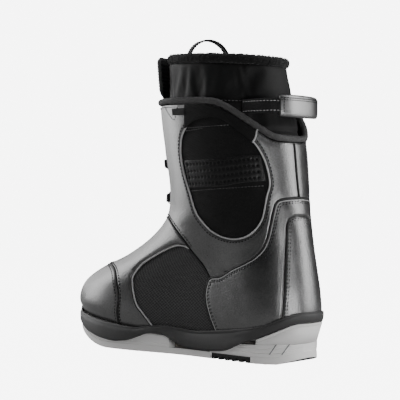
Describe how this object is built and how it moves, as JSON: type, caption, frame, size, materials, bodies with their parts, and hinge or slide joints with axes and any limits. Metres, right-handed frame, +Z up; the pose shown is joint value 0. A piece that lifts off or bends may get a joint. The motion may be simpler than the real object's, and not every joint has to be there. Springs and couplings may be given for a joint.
{
  "type": "snowboard boot",
  "caption": "Right snowboard boot: lugged sole with foam midsoles, paneled upper, opening tongue with a reel dial, padded liner, pull loop and carry strap.",
  "frame": {"origin": "on the ground under the middle of the whole boot", "axes": "+Z up, toe towards -Y, heel towards +Y, inner (medial) side towards +X"},
  "size_m": [0.1278, 0.3172, 0.3239],
  "materials": {
    "rubber": "matt",
    "midsole": "matt foam rubber",
    "board": "fibre board",
    "rand": "matt",
    "leather": "grained, semi-matt",
    "textile": "ballistic weave",
    "leather_dark": "perforated, matt",
    "label": "woven, blank",
    "binding": "bound edge",
    "liner": "smooth padded",
    "fleece": "pile",
    "footbed": "felt",
    "tongue": "padded textile",
    "hardware": "moulded",
    "steel": "turned",
    "dial": "moulded, ribbed",
    "lace": "coated cord",
    "webbing": "woven"
  },
  "bodies": {
    "boot": {"outsole": "rubber", "heel_midsole": "midsole", "forefoot_midsole": "midsole", "shank": "board", "lasting_board": "board", "heel_cup": "midsole", "rand": "rand", "toe_cap": "leather", "vamp": "leather", "side_mesh_inner": "textile", "quarter_inner": "leather", "shaft_textile_inner": "textile", "perforated_band_inner": "leather_dark", "side_mesh_outer": "textile", "quarter_outer": "leather", "shaft_textile_outer": "textile", "perforated_band_outer": "leather_dark", "collar_label": "label", "heel_counter": "leather", "backstay": "leather", "heel_stiffener": "board", "toe_puff": "board", "collar_binding": "binding", "liner": "liner", "fleece_collar": "fleece", "liner_tongue": "liner", "footbed": "footbed", "flap_guide_inner_1": "hardware", "flap_guide_inner_2": "hardware", "flap_guide_outer_1": "hardware", "flap_guide_outer_2": "hardware", "lace_inner": "lace", "lace_outer": "lace"},
    "tongue": {"tongue": "tongue", "tongue_binding": "binding", "tongue_guide_inner_1": "hardware", "tongue_guide_inner_2": "hardware", "tongue_guide_outer_1": "hardware", "tongue_guide_outer_2": "hardware", "reel_base": "hardware"},
    "spool": {"reel_spool": "hardware", "dial_hub": "steel"},
    "dial": {"dial": "dial", "dial_cap": "steel"},
    "loop": {"pull_loop": "webbing"},
    "strap": {"strap_leg_inner": "webbing", "strap_leg_outer": "webbing", "strap_grip": "leather"}
  },
  "joints": [
    {"name": "tongue_open", "type": "hinge", "parent": "boot", "child": "tongue", "pos_m": [0, -0.0307, 0.12724], "axis": [1, 0, 0], "range_deg": [0, 30], "deforming": ["lace_inner", "lace_outer"]},
    {"name": "dial_turn", "type": "hinge", "parent": "tongue", "child": "spool", "pos_m": [0, -0.02021, 0.22016], "axis": [0, -0.9871, -0.1603], "continuous": true},
    {"name": "dial_pull", "type": "slide", "parent": "spool", "child": "dial", "axis": [0, -0.9871, -0.1603], "range_m": [0, 0.003]},
    {"name": "loop_fold", "type": "hinge", "parent": "boot", "child": "loop", "pos_m": [-0.009, 0.01308, 0.291], "axis": [-0.938, 0.3466, 0], "range_deg": [-18, 55]},
    {"name": "strap_swing", "type": "hinge", "parent": "boot", "child": "strap", "pos_m": [0, 0.10258, 0.246], "axis": [1, 0, 0], "range_deg": [-9, 30]}
  ]
}
